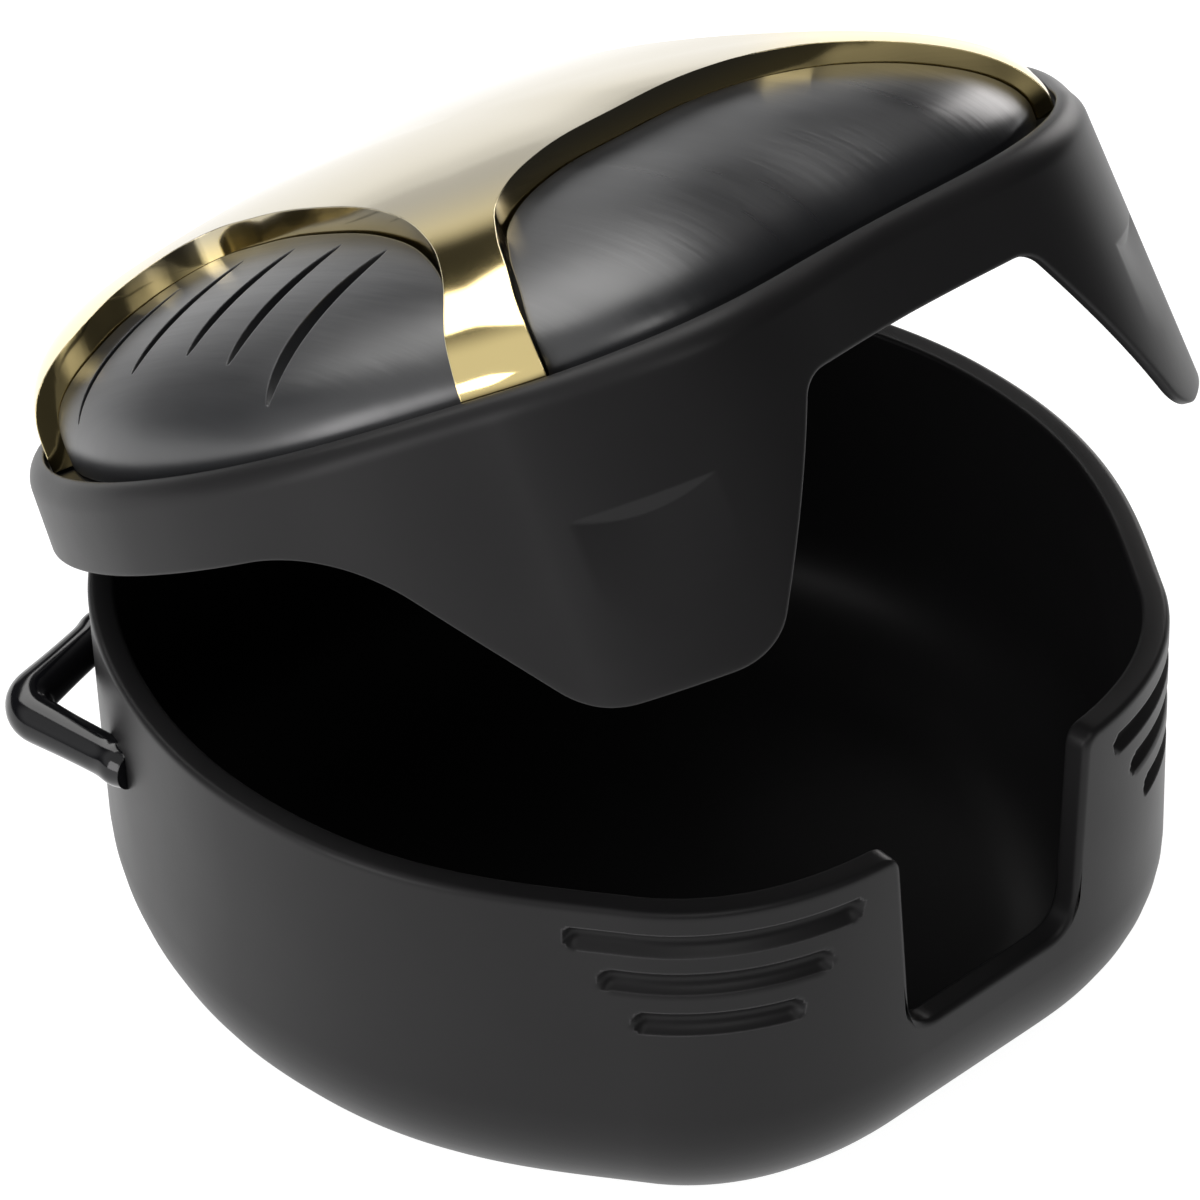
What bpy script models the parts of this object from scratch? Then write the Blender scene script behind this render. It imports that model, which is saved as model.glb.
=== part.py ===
"""Hinged mouthguard case: a deep tub, a crowned lid with two long front tabs, a metallic trim plate over four
domed panels, and a fixed lanyard loop.

Own frame, metres: +Z up, the thumb notch faces -Y, the hinge is at +Y, and the origin is the middle of the flat
underside. The lid's pieces are drawn shut, hang from an empty on the hinge axis, and are turned by the rest angle.
"""
import math

import bmesh
import bpy
import numpy as np
from mathutils import Matrix, Vector

# Plan outline of the tub, right half, from the front middle to the back middle.
HALF_WIDTH = 0.0410
FRONT_REACH = 0.0388
BACK_REACH = 0.0410
WIDEST_Y = 0.0030
FRONT_FLAT_HALF = 0.0078
BACK_FLAT_HALF = 0.0135
SHOULDER_HALF = 0.0289
SHOULDER_Y = -0.0292
FLANK_ANGLE = math.radians(55.5)
FRONT_PULL = 0.0112
SHOULDER_PULL_FRONT = 0.0058
SHOULDER_PULL_BACK = 0.0094
SIDE_PULL_FRONT = 0.0164
SIDE_PULL_BACK = 0.0163
BACK_PULL = 0.0165

# Tub.
TUB_HEIGHT = 0.0336
TUB_WALL = 0.0022
TUB_EDGE_RADIUS = 0.0127
RIM_CHAMFER = 0.0005
NOTCH_HALF_TOP = 0.0100
NOTCH_HALF_BOTTOM = 0.0089
NOTCH_DEPTH = 0.0180
NOTCH_RIM_RADIUS = 0.0015
NOTCH_CORNER_RADIUS = 0.0030

# Grip grooves under each lid tab: three, each shorter than the one above it.
GROOVE_RADIUS = 0.00095
GROOVE_SINK = 0.0008
GROOVE_FIRST_DROP = 0.0030
GROOVE_PITCH = 0.0038
GROOVE_MIDDLE = 0.0253
GROOVE_HALF_LENGTHS = (0.0117, 0.0091, 0.0066)

# Lanyard loop, on the left rear corner.
LOOP_BAR_RADIUS = 0.0017
LOOP_SPREAD = 0.0164
LOOP_BAR_LENGTH = 0.0060
LOOP_REACH = 0.0055
LOOP_BEND = 0.0030
LOOP_DROP = 0.0087
LOOP_ROOT_SHARE = 0.6
LOOP_DIRECTION = math.radians(147.0)

# Fits, and how far a cutting shape runs on past the surface that it cuts.
CLEARANCE = 0.0003
PIN_CLEARANCE = 0.00025
CUTTER_REACH = 0.0030

# Lid frame: heights are above the tub's rim with the lid shut, and offsets are outwards from the tub's outline.
SKIRT_WALL = 0.00095
SKIRT_BOTTOM = -0.0028
SKIRT_FLARE = 0.05
SHOULDER_OUT = 0.00115
SHOULDER_Z = 0.0021
LIP_INSET = 0.0006
LIP_TOP_Z = 0.0041
LIP_GAP = 0.0003
LIP_ARC_STEPS = 4
CROWN_SEAT_Z = 0.0030
LEDGE_THICKNESS = 0.0014

# The lid's front corners are squarer than the tub's: how far, and over which stretch of the outline.
CORNER_SWELL = 0.0017
CROWN_SWELL = 0.0010
SWELL_MIDDLE = 0.0159
SWELL_SPREAD = 0.0091

# Lid tabs: places along the outline of the four corners of each tab, its drop, and the corner radii.
TAB_INNER_TOP = 0.0111
TAB_INNER_BOTTOM = 0.0201
TAB_OUTER_BOTTOM = 0.0327
TAB_OUTER_TOP = 0.0477
TAB_DROP = 0.0172
TAB_INNER_TOP_RADIUS = 0.0025
TAB_INNER_BOTTOM_RADIUS = 0.0048
TAB_OUTER_BOTTOM_RADIUS = 0.0072
TAB_OUTER_TOP_RADIUS = 0.0162
CREASE_DROP = 0.0063
CREASE_DEPTH = 0.0005
CREASE_TALL = 0.0060
CREASE_MIDDLE = 0.0250
CREASE_HALF_WIDTH = 0.0090

# Crown of the lid: its height falls off as the root of a power of the share of the way out, fuller at the rear.
# Each layer under its skin lies deeper at the top than at the sides, by the top sink's ratio, and again at the rear.
CROWN_BASE_Z = 0.0040
CROWN_RISE = 0.0130
CROWN_POWER = 2.26
CROWN_ROOT = 1.77
CROWN_REAR_POWER = 1.50
CROWN_REAR_ROOT = 4.30
CROWN_Y = 0.0060
CROWN_TOP_SINK = 1.30
CROWN_REAR_SINK = 0.90
CROWN_SHARES = (1.0, 0.985, 0.95, 0.89, 0.80, 0.68, 0.52, 0.30)
PANEL_SINK = 0.0016
PANEL_THICKNESS = 0.0012
LINER_THICKNESS = 0.0012

# Vents, five on each side panel, from front to back: y at the middle, inner x, outer x, half width.
VENTS = (
    (-0.0094, 0.0196, 0.0350, 0.00085),
    (-0.0026, 0.0188, 0.0328, 0.00075),
    (0.0038, 0.0188, 0.0320, 0.00070),
    (0.0104, 0.0194, 0.0332, 0.00065),
    (0.0166, 0.0218, 0.0356, 0.00055),
)
VENT_BOW = 0.0007
VENT_TILT = 0.0016

# Hinge.
HINGE_BEHIND = 0.0057
HINGE_DROP = 0.0015
KNUCKLE_RADIUS = 0.0025
PIN_RADIUS = 0.0010
LID_KNUCKLE_HALF = 0.0060
TUB_KNUCKLE_LENGTH = 0.0060
TUB_ARM_HEIGHT = 0.0068
REST_OPENING = math.radians(29.0)

# How finely the outline is divided: steps along the front, the tab and the rest of one half.
TUB_STEPS = (6, 20, 26)
LID_STEPS = (4, 34, 24)
CROWN_STEPS = (4, 12, 15)

HINGE_Y = BACK_REACH + HINGE_BEHIND
HINGE_Z = TUB_HEIGHT - HINGE_DROP
TRIM_THICKNESS = PANEL_SINK + PANEL_THICKNESS
CROWN_INSET = LIP_INSET + LIP_GAP

for item in list(bpy.data.objects):
    bpy.data.objects.remove(item, do_unlink=True)

parts = bpy.data.collections.new("mouthguard_case")
cutters = bpy.data.collections.new("cutters")
bpy.context.scene.collection.children.link(parts)
bpy.context.scene.collection.children.link(cutters)


def make_material(name, colour, roughness, metallic):
    material = bpy.data.materials.new(name)
    material.use_nodes = True
    shader = material.node_tree.nodes["Principled BSDF"]
    shader.inputs["Base Color"].default_value = (*colour, 1.0)
    shader.inputs["Roughness"].default_value = roughness
    shader.inputs["Metallic"].default_value = metallic
    return material


SATIN_BLACK = make_material("satin_black", (0.030, 0.031, 0.034), 0.42, 0.0)
PANEL_GREY = make_material("panel_grey", (0.060, 0.064, 0.072), 0.34, 0.0)
GLOSS_BLACK = make_material("gloss_black", (0.012, 0.012, 0.014), 0.12, 0.0)
GOLD_CHROME = make_material("gold_chrome", (0.86, 0.70, 0.36), 0.12, 1.0)
LINER_BLACK = make_material("liner_black", (0.020, 0.020, 0.022), 0.55, 0.0)
PIN_STEEL = make_material("pin_steel", (0.55, 0.55, 0.56), 0.30, 1.0)



def bezier(start, start_pull, end_pull, end, count):
    """Points of a cubic curve that leaves start along start_pull and reaches end along end_pull."""
    t = np.linspace(0.0, 1.0, count)[:, None]
    first = np.add(start, start_pull)
    second = np.subtract(end, end_pull)
    return ((1 - t) ** 3 * start + 3 * (1 - t) ** 2 * t * first
            + 3 * (1 - t) * t ** 2 * second + t ** 3 * np.array(end))


def dense_half_outline():
    """The right half of the tub's plan, finely divided, front middle to back middle."""
    flank = np.array([math.cos(FLANK_ANGLE), math.sin(FLANK_ANGLE)])
    front = np.array([FRONT_FLAT_HALF, -FRONT_REACH])
    shoulder = np.array([SHOULDER_HALF, SHOULDER_Y])
    side = np.array([HALF_WIDTH, WIDEST_Y])
    back = np.array([BACK_FLAT_HALF, BACK_REACH])
    corner = bezier(front, (FRONT_PULL, 0), flank * SHOULDER_PULL_FRONT, shoulder, 120)
    flank_run = bezier(shoulder, flank * SHOULDER_PULL_BACK, (0, SIDE_PULL_FRONT), side, 120)
    rear = bezier(side, (0, SIDE_PULL_BACK), (-BACK_PULL, 0), back, 120)
    front_flat = np.linspace((0, -FRONT_REACH), front, 30)[:-1]
    back_flat = np.linspace(back, (0, BACK_REACH), 40)[1:]
    return np.vstack([front_flat, corner, flank_run[1:], rear[1:], back_flat])


HALF = dense_half_outline()
HALF_STEP = np.hypot(*np.diff(HALF, axis=0).T)
HALF_LENGTH = np.concatenate([[0.0], np.cumsum(HALF_STEP)])
HALF_TANGENT = np.gradient(HALF, HALF_LENGTH, axis=0)


def outline_at(station, grow=0.0):
    """The outline's point at a distance along it from the front middle, moved outwards by grow; left is negative."""
    reach = np.abs(station)
    point = np.array([np.interp(reach, HALF_LENGTH, HALF[:, k]) for k in (0, 1)])
    along = np.array([np.interp(reach, HALF_LENGTH, HALF_TANGENT[:, k]) for k in (0, 1)])
    along = along / np.hypot(*along)
    outward = np.array([along[1], -along[0]])
    moved = point + outward * grow
    side = np.where(np.asarray(station) < 0, -1.0, 1.0)
    return np.array([moved[0] * side, moved[1]]), np.array([outward[0] * side, outward[1]])


def stations(steps):
    """Distances along the whole outline, closer together where the tabs are, once round counter-clockwise."""
    total = HALF_LENGTH[-1]
    half = np.concatenate([
        np.linspace(0.0, TAB_INNER_TOP - TAB_INNER_TOP_RADIUS, steps[0] + 1)[:-1],
        np.linspace(TAB_INNER_TOP - TAB_INNER_TOP_RADIUS, TAB_OUTER_TOP + TAB_OUTER_TOP_RADIUS / 2, steps[1] + 1)[:-1],
        np.linspace(TAB_OUTER_TOP + TAB_OUTER_TOP_RADIUS / 2, total, steps[2] + 1),
    ])
    return np.concatenate([half, -half[-2:0:-1]])


def plan_ring(places, grow, z):
    """One closed ring of points round the outline, at one height or at a height for each point."""
    flat = outline_at(places, grow)[0].T
    heights = np.broadcast_to(np.asarray(z, dtype=float), (len(places),))
    return np.column_stack([flat, heights])



def add_object(name, mesh, material=None, parent=None):
    thing = bpy.data.objects.new(name, mesh)
    if material:
        mesh.materials.clear()
        mesh.materials.append(material)
        parts.objects.link(thing)
    else:
        cutters.objects.link(thing)
        thing.hide_render = True
        thing.display_type = "WIRE"
    if parent:
        thing.parent = parent
    return thing


def loft(name, rings, closed):
    """A closed solid through rings of equal count; the first and last ring join up, or each gets a cap."""
    bm = bmesh.new()
    loops = [[bm.verts.new(point) for point in ring] for ring in rings]
    pairs = list(zip(loops[:-1], loops[1:]))
    if closed:
        pairs.append((loops[-1], loops[0]))
    for lower, upper in pairs:
        for k, vertex in enumerate(lower):
            following = (k + 1) % len(lower)
            bm.faces.new((vertex, lower[following], upper[following], upper[k]))
    if not closed:
        bm.faces.new(reversed(loops[0]))
        bm.faces.new(loops[-1])
    return finish_mesh(name, bm)


def finish_mesh(name, bm):
    bmesh.ops.remove_doubles(bm, verts=bm.verts, dist=1e-7)
    bmesh.ops.recalc_face_normals(bm, faces=bm.faces)
    mesh = bpy.data.meshes.new(name)
    bm.to_mesh(mesh)
    bm.free()
    mesh.shade_smooth()
    mesh.set_sharp_from_angle(angle=math.radians(35))
    return mesh


def curve_to_mesh(curve):
    """A curve object as a welded mesh with the curve's place kept, and the curve removed."""
    bpy.context.view_layer.update()
    evaluated = curve.evaluated_get(bpy.context.evaluated_depsgraph_get())
    mesh = bpy.data.meshes.new_from_object(evaluated)
    mesh.transform(curve.matrix_world)
    name = curve.name
    bpy.data.objects.remove(curve, do_unlink=True)
    bm = bmesh.new()
    bm.from_mesh(mesh)
    return finish_mesh(name, bm)


def prism(name, points, low, high, smooth_corners=False, upright=False):
    """A flat outline pulled straight up from low to high, or along Y when the outline stands upright in X and Z."""
    curve = bpy.data.curves.new(name, "CURVE")
    curve.dimensions = "2D"
    curve.fill_mode = "BOTH"
    curve.extrude = (high - low) / 2
    curve.resolution_u = 5
    spline = curve.splines.new("BEZIER" if smooth_corners else "POLY")
    if smooth_corners:
        spline.bezier_points.add(len(points) - 1)
        for knot, (x, y) in zip(spline.bezier_points, points):
            knot.co = (x, y, 0)
            knot.handle_left_type = "AUTO"
            knot.handle_right_type = "AUTO"
    else:
        spline.points.add(len(points) - 1)
        for knot, (x, y) in zip(spline.points, points):
            knot.co = (x, y, 0, 1)
    spline.use_cyclic_u = True
    thing = bpy.data.objects.new(name, curve)
    cutters.objects.link(thing)
    middle = (low + high) / 2
    if upright:
        thing.location = (0, middle, 0)
        thing.rotation_euler = (math.pi / 2, 0, 0)
    else:
        thing.location = (0, 0, middle)
    return curve_to_mesh(thing)


def tube(name, points, radius, scales=None, sides=2):
    """A round bar along points, with its caps filled; scales narrow it point by point."""
    curve = bpy.data.curves.new(name, "CURVE")
    curve.dimensions = "3D"
    curve.bevel_depth = radius
    curve.bevel_resolution = sides
    curve.use_fill_caps = True
    spline = curve.splines.new("POLY")
    spline.points.add(len(points) - 1)
    for k, (knot, point) in enumerate(zip(spline.points, points)):
        knot.co = (*point, 1)
        knot.radius = 1.0 if scales is None else scales[k]
    thing = bpy.data.objects.new(name, curve)
    cutters.objects.link(thing)
    return curve_to_mesh(thing)


def rod(name, radius, x_low, x_high, y, z, vertices=32):
    """A cylinder along X."""
    bm = bmesh.new()
    bmesh.ops.create_cone(bm, cap_ends=True, segments=vertices, radius1=radius, radius2=radius,
                          depth=x_high - x_low)
    bmesh.ops.rotate(bm, verts=bm.verts, matrix=Matrix.Rotation(math.pi / 2, 3, "Y"))
    bmesh.ops.translate(bm, verts=bm.verts, vec=Vector(((x_low + x_high) / 2, y, z)))
    return finish_mesh(name, bm)


def combine(thing, other_mesh, operation, parent=None):
    """A Boolean with a mesh that is kept among the cutters."""
    cutter = add_object(thing.name + "_" + other_mesh.name, other_mesh, parent=parent)
    step = thing.modifiers.new(other_mesh.name, "BOOLEAN")
    step.operation = operation
    step.solver = "EXACT"
    step.object = cutter
    return cutter


def rounded(corners):
    """Corner points, each with its own radius, joined by straight runs and arcs."""
    path = []
    count = len(corners)
    for k, (x, y, radius) in enumerate(corners):
        here = np.array([x, y])
        if radius <= 0:
            path.append(here)
            continue
        before = np.array(corners[k - 1][:2]) - here
        after = np.array(corners[(k + 1) % count][:2]) - here
        before = before / np.hypot(*before)
        after = after / np.hypot(*after)
        half_angle = math.acos(np.clip(before @ after, -1, 1)) / 2
        centre = here + (before + after) / np.hypot(*(before + after)) * radius / math.sin(half_angle)
        start = here + before * radius / math.tan(half_angle) - centre
        end = here + after * radius / math.tan(half_angle) - centre
        turn = math.atan2(start[0] * end[1] - start[1] * end[0], start @ end)
        for share in np.linspace(0, 1, 7):
            swing = turn * share
            spin = np.array([[math.cos(swing), -math.sin(swing)], [math.sin(swing), math.cos(swing)]])
            path.append(centre + spin @ start)
    return path



def tub_rings():
    """The tub's wall section, carried round the outline: up the outside, over the rim, down the inside."""
    places = stations(TUB_STEPS)
    section = []
    for share in np.linspace(0.0, 1.0, 6):
        swing = share * math.pi / 2
        section.append((TUB_EDGE_RADIUS * (1 - math.sin(swing)), TUB_EDGE_RADIUS * (1 - math.cos(swing))))
    section.append((0.0, TUB_HEIGHT - RIM_CHAMFER))
    section.append((RIM_CHAMFER, TUB_HEIGHT))
    section.append((TUB_WALL, TUB_HEIGHT))
    inner_radius = TUB_EDGE_RADIUS - TUB_WALL
    for share in np.linspace(0.0, 1.0, 5):
        swing = share * math.pi / 2
        section.append((TUB_WALL + inner_radius * (1 - math.cos(swing)),
                        TUB_WALL + inner_radius * (1 - math.sin(swing))))
    return [plan_ring(places, -inset, z) for inset, z in section]


def notch_cutter():
    low = TUB_HEIGHT - NOTCH_DEPTH
    right = [
        (NOTCH_HALF_BOTTOM, low, NOTCH_CORNER_RADIUS),
        (NOTCH_HALF_TOP, TUB_HEIGHT, NOTCH_RIM_RADIUS),
        (NOTCH_HALF_TOP + CUTTER_REACH, TUB_HEIGHT, 0.0),
        (NOTCH_HALF_TOP + CUTTER_REACH, TUB_HEIGHT + CUTTER_REACH, 0.0),
    ]
    left = [(-x, z, radius) for x, z, radius in reversed(right)]
    reach_in = -FRONT_REACH + 3 * TUB_WALL
    return prism("notch", rounded(right + left), -FRONT_REACH - CUTTER_REACH, reach_in, upright=True)


def groove_cutter(name, middle, half_length, z):
    """A half-sunk bar that follows the wall, with round ends."""
    end = GROOVE_RADIUS
    ease = end * (1 - np.cos(np.linspace(0.1, math.pi / 2, 4)))
    places = np.concatenate([ease, np.linspace(end, 2 * half_length - end, 12)[1:-1], 2 * half_length - ease[::-1]])
    to_end = np.clip(np.minimum(places, 2 * half_length - places) / end, 0, 1)
    scales = np.sqrt(1 - (1 - to_end) ** 2)
    flat = outline_at(middle - half_length + places, GROOVE_RADIUS - GROOVE_SINK)[0].T
    return tube(name, [(x, y, z) for x, y in flat], GROOVE_RADIUS, scales)


def loop_path():
    """The loop's centre line: out of the wall, along the bar, and back in, with the legs spread at the wall."""
    out = np.array([math.cos(LOOP_DIRECTION), math.sin(LOOP_DIRECTION)])
    along = np.array([-out[1], out[0]])
    places = -np.linspace(0.3, 0.95, 400) * HALF_LENGTH[-1]  # the left side, short of both middles
    wall = outline_at(places)[0].T
    corner = wall[np.argmax(wall @ out)]
    bar_middle = corner + out * LOOP_REACH
    feet, bends = [], []
    for side in (-1, 1):
        bend = bar_middle + along * side * LOOP_BAR_LENGTH / 2
        target = corner + along * side * LOOP_SPREAD / 2
        foot = wall[np.argmin(np.abs((wall - target) @ along))]
        inwards = (foot - bend) / np.hypot(*(foot - bend))
        feet.append(foot + inwards * TUB_WALL * LOOP_ROOT_SHARE)
        bends.append(bend)
    flat = rounded([(*feet[0], 0), (*bends[0], LOOP_BEND), (*bends[1], LOOP_BEND), (*feet[1], 0)])
    return [Vector((x, y, TUB_HEIGHT - LOOP_DROP)) for x, y in flat]


def tub_hinge_profile():
    """Side view of a tub knuckle's arm: under the lid's skirt and up to the axis."""
    under = TUB_HEIGHT + SKIRT_BOTTOM - CLEARANCE
    return [
        (BACK_REACH - TUB_WALL * 0.5, under - TUB_ARM_HEIGHT),
        (HINGE_Y + KNUCKLE_RADIUS * 0.45, HINGE_Z - KNUCKLE_RADIUS * 0.88),
        (HINGE_Y - KNUCKLE_RADIUS * 0.80, under),
        (BACK_REACH - TUB_WALL * 0.5, under),
    ]


def lid_hinge_profile():
    """Side view of the lid knuckle's arm, from the skirt to the axis."""
    skirt = BACK_REACH + SHOULDER_OUT - SKIRT_WALL / 2
    return [
        (skirt, TUB_HEIGHT + SKIRT_BOTTOM + CLEARANCE),
        (HINGE_Y - KNUCKLE_RADIUS * 0.6, HINGE_Z - KNUCKLE_RADIUS * 0.5),
        (HINGE_Y, HINGE_Z + KNUCKLE_RADIUS * 0.98),
        (skirt, HINGE_Z + KNUCKLE_RADIUS * 1.2),
    ]


def side_plate(name, profile, x_low, x_high):
    """A profile drawn in Y and Z, pulled along X."""
    left = [(x_low, y, z) for y, z in profile]
    right = [(x_high, y, z) for y, z in profile]
    return loft(name, [left, right], closed=False)


def build_tub():
    tub = add_object("base_tub", loft("base_tub", tub_rings(), closed=False), SATIN_BLACK)
    inner = LID_KNUCKLE_HALF + CLEARANCE
    outer = inner + TUB_KNUCKLE_LENGTH
    for side, (low, high) in (("left", (-outer, -inner)), ("right", (inner, outer))):
        combine(tub, side_plate(side + "_arm", tub_hinge_profile(), low, high), "UNION")
        combine(tub, rod(side + "_knuckle", KNUCKLE_RADIUS, low, high, HINGE_Y, HINGE_Z, 24), "UNION")
    reach = outer + CUTTER_REACH
    combine(tub, rod("pin_bore", PIN_RADIUS + PIN_CLEARANCE, -reach, reach, HINGE_Y, HINGE_Z, 20), "DIFFERENCE")
    combine(tub, notch_cutter(), "DIFFERENCE")
    for side in (-1, 1):
        for row, half_length in enumerate(GROOVE_HALF_LENGTHS):
            z = TUB_HEIGHT - GROOVE_FIRST_DROP - row * GROOVE_PITCH
            name = f"groove_{'left' if side < 0 else 'right'}_{row + 1}"
            combine(tub, groove_cutter(name, side * GROOVE_MIDDLE, half_length, z), "DIFFERENCE")
    path = loop_path()
    for name, end, following in (("socket_front", path[0], path[1]), ("socket_rear", path[-1], path[-2])):
        leg = (following - end).normalized()
        run = [end - leg * 2 * TUB_WALL, end + leg * 2 * TUB_WALL]
        combine(tub, tube(name, run, LOOP_BAR_RADIUS + CLEARANCE, sides=3), "DIFFERENCE")
    add_object("lanyard_loop", tube("lanyard_loop", path, LOOP_BAR_RADIUS, sides=3), GLOSS_BLACK)
    add_object("hinge_pin", rod("hinge_pin", PIN_RADIUS, -outer, outer, HINGE_Y, HINGE_Z, 24), PIN_STEEL)



def swell(places):
    """How far the lid's front corners stand out from the tub's outline, as a share of the full swell."""
    return np.exp(-((np.abs(places) - SWELL_MIDDLE) / SWELL_SPREAD) ** 2)


def skirt_edge(places):
    """Height of the skirt's lower edge round the outline: level, with a long tab on each side of the notch."""
    low = SKIRT_BOTTOM - TAB_DROP
    path = np.array(rounded([
        (0.0, SKIRT_BOTTOM, 0.0),
        (TAB_INNER_TOP, SKIRT_BOTTOM, TAB_INNER_TOP_RADIUS),
        (TAB_INNER_BOTTOM, low, TAB_INNER_BOTTOM_RADIUS),
        (TAB_OUTER_BOTTOM, low, TAB_OUTER_BOTTOM_RADIUS),
        (TAB_OUTER_TOP, SKIRT_BOTTOM, TAB_OUTER_TOP_RADIUS),
        (HALF_LENGTH[-1], SKIRT_BOTTOM, 0.0),
    ]))
    return TUB_HEIGHT + np.interp(np.abs(places), path[:, 0], path[:, 1])


def skirt_out(z):
    """The skirt's outer offset at a height over the rim: it flares towards its lower edge."""
    return SHOULDER_OUT + (SHOULDER_Z - z) * SKIRT_FLARE


def lid_frame_rings():
    """Skirt, rounded lip and inner ledge, as one closed section carried round the outline."""
    places = stations(LID_STEPS)
    corner = CORNER_SWELL * swell(places)
    crown_corner = CROWN_SWELL * swell(places)
    edge = skirt_edge(places)
    rim = TUB_HEIGHT
    seat = rim + CROWN_SEAT_Z - CLEARANCE
    under = CLEARANCE * 4 / 3
    ledge_in = CROWN_INSET + TRIM_THICKNESS + CLEARANCE + LINER_THICKNESS
    rings = [plan_ring(places, corner + skirt_out(edge - rim), edge)]
    for share in np.linspace(0, 1, LIP_ARC_STEPS + 1):
        swing = share * math.pi / 2
        reach = (SHOULDER_OUT + LIP_INSET) * math.cos(swing) - LIP_INSET
        z = rim + SHOULDER_Z + (LIP_TOP_Z - SHOULDER_Z) * math.sin(swing)
        rings.append(plan_ring(places, reach + corner + (crown_corner - corner) * share, z))
    rings += [
        plan_ring(places, crown_corner - LIP_INSET, seat),
        plan_ring(places, crown_corner - ledge_in, seat),
        plan_ring(places, crown_corner - ledge_in, seat - LEDGE_THICKNESS),
        plan_ring(places, -TUB_WALL - CLEARANCE, rim + under),
        plan_ring(places, corner + skirt_out(under) - SKIRT_WALL, rim + under),
        plan_ring(places, corner + skirt_out(edge - rim) - SKIRT_WALL, edge),
    ]
    return rings


def crown_surface(depth):
    """Rings of the crown at a depth under its outer skin, from the seat up to the ring round its top."""
    places = stations(CROWN_STEPS)
    flat = outline_at(places, CROWN_SWELL * swell(places) - CROWN_INSET - depth)[0].T
    middle = np.array([0.0, CROWN_Y])
    spoke = flat - middle
    rearward = ((1 + spoke[:, 1] / np.hypot(*spoke.T)) / 2) ** 2
    power = CROWN_POWER + (CROWN_REAR_POWER - CROWN_POWER) * rearward
    root = CROWN_ROOT + (CROWN_REAR_ROOT - CROWN_ROOT) * rearward
    top_rise = CROWN_RISE - depth * CROWN_TOP_SINK
    base = TUB_HEIGHT + CROWN_BASE_Z
    rings = [np.column_stack([flat, np.full(len(flat), TUB_HEIGHT + CROWN_SEAT_Z)])]
    for share in CROWN_SHARES:
        rise = top_rise - depth * CROWN_REAR_SINK * rearward * share ** 2
        height = rise * (1 - share ** power) ** (1 / root)
        rings.append(np.column_stack([middle + spoke * share, base + height]))
    return rings, (0.0, CROWN_Y, base + top_rise)


def crown_layer(name, outer_depth, inner_depth):
    """The part of the crown between two depths, as a closed cup."""
    outer_rings, outer_top = crown_surface(outer_depth)
    inner_rings, inner_top = crown_surface(inner_depth)
    bm = bmesh.new()
    outer = [[bm.verts.new(point) for point in ring] for ring in outer_rings]
    inner = [[bm.verts.new(point) for point in ring] for ring in inner_rings]
    pairs = list(zip(outer[:-1], outer[1:])) + [(b, a) for a, b in zip(inner[:-1], inner[1:])]
    pairs.append((inner[0], outer[0]))
    for lower, upper in pairs:
        for k, vertex in enumerate(lower):
            following = (k + 1) % len(lower)
            bm.faces.new((vertex, lower[following], upper[following], upper[k]))
    for ring, top in ((outer[-1], outer_top), (inner[-1], inner_top)):
        peak = bm.verts.new(top)
        for k, vertex in enumerate(ring):
            bm.faces.new((vertex, ring[(k + 1) % len(ring)], peak))
    return finish_mesh(name, bm)


# Plan outlines of the four openings in the trim plate, right half or right side, front to back.
FRONT_WINDOW_HALF = ((0.0, -0.0146), (0.0080, -0.0154), (0.0150, -0.0183), (0.0185, -0.0218), (0.0214, -0.0257),
                     (0.0242, -0.0295), (0.0264, -0.0342), (0.0250, -0.0420))
SIDE_WINDOW = ((0.0318, -0.0270), (0.0276, -0.0240), (0.0236, -0.0203), (0.0199, -0.0140), (0.0178, -0.0070),
               (0.0167, 0.0030), (0.0166, 0.0120), (0.0181, 0.0194), (0.0236, 0.0222), (0.0290, 0.0222),
               (0.0330, 0.0236), (0.0400, 0.0290), (0.0480, 0.0200), (0.0500, 0.0), (0.0440, -0.0200))
REAR_WINDOW_HALF = ((0.0, 0.0236), (0.0090, 0.0240), (0.0165, 0.0256), (0.0212, 0.0290), (0.0250, 0.0330),
                    (0.0290, 0.0370), (0.0280, 0.0450), (0.0, 0.0480))


def mirrored(half):
    """A closed outline from its right half; points on the middle line are used once."""
    return list(half) + [(-x, y) for x, y in reversed(half) if x > 0]


def window(points, grow):
    """A window outline moved outwards by grow along its own normals."""
    path = np.array(points)
    along = np.roll(path, -1, axis=0) - np.roll(path, 1, axis=0)
    along = along / np.hypot(*along.T)[:, None]
    area = np.sum(path[:, 0] * np.roll(path[:, 1], -1) - np.roll(path[:, 0], -1) * path[:, 1])
    outward = np.column_stack([along[:, 1], -along[:, 0]]) * np.sign(area)
    return [tuple(point) for point in path + outward * grow]


def vent_cutter(name, side, vent):
    """A bowed, tilted slot with pointed ends that runs out over the side panel."""
    y, x_in, x_out, half_width = vent
    places = np.linspace(0, 1, 9)
    across = side * (x_in + (x_out - x_in) * places)
    bow = VENT_BOW * (1 - (2 * places - 1) ** 2) + VENT_TILT * (0.5 - places)
    width = half_width * np.sqrt(np.clip(4 * places * (1 - places), 0.03, 1))
    front = list(zip(across, y + bow - width))
    rear = list(zip(across, y + bow + width))
    return prism(name, front + rear[::-1], TUB_HEIGHT, TUB_HEIGHT + CROWN_BASE_Z + CROWN_RISE + CUTTER_REACH)


def to_hinge(mesh):
    """Moves a shut lid piece so that the hinge axis is its origin."""
    for vertex in mesh.vertices:
        vertex.co -= Vector((0.0, HINGE_Y, HINGE_Z))
    return mesh


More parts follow.
